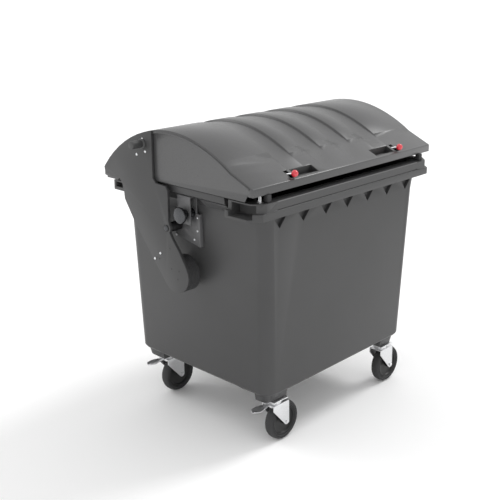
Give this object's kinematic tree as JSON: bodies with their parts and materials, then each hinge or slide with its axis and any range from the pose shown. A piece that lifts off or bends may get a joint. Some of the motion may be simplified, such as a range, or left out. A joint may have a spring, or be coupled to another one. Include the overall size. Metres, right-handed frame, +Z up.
{
  "type": "wheeled waste container",
  "caption": "Large wheeled waste container with a tapered tub, a counterweighted dome lid that swings back, side trunnions, hand grips and braked swivel casters.",
  "frame": {"origin": "on the ground under the middle of the closed container", "axes": "+X to the right of someone facing the front, -Y towards that person, +Z up"},
  "size_m": [1.492, 1.036, 1.4958],
  "materials": {
    "grey_hdpe": "moulded, fine satin grain",
    "dome_hdpe": "moulded, satin",
    "arm_plastic": "moulded, satin",
    "black_plastic": "moulded, matt",
    "rubber": "matt",
    "tyre": "matt solid rubber",
    "zinc_steel": "bright zinc plating",
    "cast_iron": "dark paint",
    "red_plastic": "gloss"
  },
  "bodies": {
    "container": {"body_shell": "grey_hdpe", "trunnion_bracket_left": "arm_plastic", "trunnion_bracket_right": "arm_plastic", "trunnion_pin_left": "zinc_steel", "trunnion_pin_right": "zinc_steel", "pivot_pin_left": "black_plastic", "pivot_pin_right": "black_plastic", "pivot_bolt_left": "zinc_steel", "pivot_bolt_right": "zinc_steel", "latch_keeper_left": "zinc_steel", "latch_keeper_right": "zinc_steel", "lid_rest_pad_left": "rubber", "lid_rest_pad_right": "rubber", "caster_plate_front_left": "zinc_steel", "caster_plate_front_right": "zinc_steel", "caster_plate_rear_left": "zinc_steel", "caster_plate_rear_right": "zinc_steel"},
    "drain_plug_body": {"drain_plug": "black_plastic"},
    "lid": {"lid_shell": "dome_hdpe", "lid_arm_left": "arm_plastic", "lid_arm_right": "arm_plastic", "pivot_bush_left": "black_plastic", "pivot_bush_right": "black_plastic", "counterweight_left": "cast_iron", "counterweight_right": "cast_iron", "opening_peg_left": "arm_plastic", "opening_peg_right": "arm_plastic", "grip_cup_left": "black_plastic", "grip_cup_right": "black_plastic", "latch_guide_left": "black_plastic", "latch_guide_right": "black_plastic"},
    "plunger_left": {"latch_plunger_left": "zinc_steel", "latch_knob_left": "red_plastic"},
    "plunger_right": {"latch_plunger_right": "zinc_steel", "latch_knob_right": "red_plastic"},
    "swivel_front_left": {"caster_fork_front_left": "zinc_steel", "axle_bolt_front_left": "zinc_steel"},
    "wheel_front_left": {"wheel_hub_front_left": "black_plastic", "wheel_tyre_front_left": "tyre"},
    "swivel_front_right": {"caster_fork_front_right": "zinc_steel", "axle_bolt_front_right": "zinc_steel"},
    "wheel_front_right": {"wheel_hub_front_right": "black_plastic", "wheel_tyre_front_right": "tyre"},
    "swivel_rear_left": {"caster_fork_rear_left": "zinc_steel", "axle_bolt_rear_left": "zinc_steel"},
    "wheel_rear_left": {"wheel_hub_rear_left": "black_plastic", "wheel_tyre_rear_left": "tyre"},
    "swivel_rear_right": {"caster_fork_rear_right": "zinc_steel", "axle_bolt_rear_right": "zinc_steel"},
    "wheel_rear_right": {"wheel_hub_rear_right": "black_plastic", "wheel_tyre_rear_right": "tyre"},
    "pedal_front_left": {"brake_pedal_front_left": "zinc_steel"},
    "pedal_rear_left": {"brake_pedal_rear_left": "zinc_steel"}
  },
  "joints": [
    {"name": "lid_hinge", "type": "hinge", "parent": "container", "child": "lid", "pos_m": [0, 0.05, 1.037], "axis": [-1, 0, 0], "range_deg": [0, 48]},
    {"name": "plunger_slide_left", "type": "slide", "parent": "lid", "child": "plunger_left", "axis": [0, 0.9659, -0.2588], "range_m": [0, 0.006], "stiffness_N_per_m": 400, "springref_m": -0.005},
    {"name": "plunger_slide_right", "type": "slide", "parent": "lid", "child": "plunger_right", "axis": [0, 0.9659, -0.2588], "range_m": [0, 0.006], "stiffness_N_per_m": 400, "springref_m": -0.005},
    {"name": "drain_plug_turn", "type": "hinge", "parent": "container", "child": "drain_plug_body", "pos_m": [-0.43, -0.235, 0.243], "axis": [0, 0, 1], "range_deg": [0, 90]},
    {"name": "swivel_front_left", "type": "hinge", "parent": "container", "child": "swivel_front_left", "pos_m": [-0.4346, -0.4157, 0.211], "axis": [0, 0, 1], "continuous": true},
    {"name": "wheel_spin_front_left", "type": "hinge", "parent": "swivel_front_left", "child": "wheel_front_left", "pos_m": [-0.3842, -0.4157, 0.1], "axis": [0, 1, 0], "continuous": true},
    {"name": "swivel_front_right", "type": "hinge", "parent": "container", "child": "swivel_front_right", "pos_m": [0.4346, -0.4157, 0.211], "axis": [0, 0, 1], "continuous": true},
    {"name": "wheel_spin_front_right", "type": "hinge", "parent": "swivel_front_right", "child": "wheel_front_right", "pos_m": [0.485, -0.4157, 0.1], "axis": [0, 1, 0], "continuous": true},
    {"name": "swivel_rear_left", "type": "hinge", "parent": "container", "child": "swivel_rear_left", "pos_m": [-0.4346, 0.3354, 0.211], "axis": [0, 0, 1], "continuous": true},
    {"name": "wheel_spin_rear_left", "type": "hinge", "parent": "swivel_rear_left", "child": "wheel_rear_left", "pos_m": [-0.3842, 0.3354, 0.1], "axis": [0, 1, 0], "continuous": true},
    {"name": "swivel_rear_right", "type": "hinge", "parent": "container", "child": "swivel_rear_right", "pos_m": [0.4346, 0.3354, 0.211], "axis": [0, 0, 1], "continuous": true},
    {"name": "wheel_spin_rear_right", "type": "hinge", "parent": "swivel_rear_right", "child": "wheel_rear_right", "pos_m": [0.485, 0.3354, 0.1], "axis": [0, 1, 0], "continuous": true},
    {"name": "brake_pedal_front_left", "type": "hinge", "parent": "swivel_front_left", "child": "pedal_front_left", "pos_m": [-0.4646, -0.4157, 0.19], "axis": [0, -1, 0], "range_deg": [0, 12]},
    {"name": "brake_pedal_rear_left", "type": "hinge", "parent": "swivel_rear_left", "child": "pedal_rear_left", "pos_m": [-0.4646, 0.3354, 0.19], "axis": [0, -1, 0], "range_deg": [0, 12]}
  ]
}
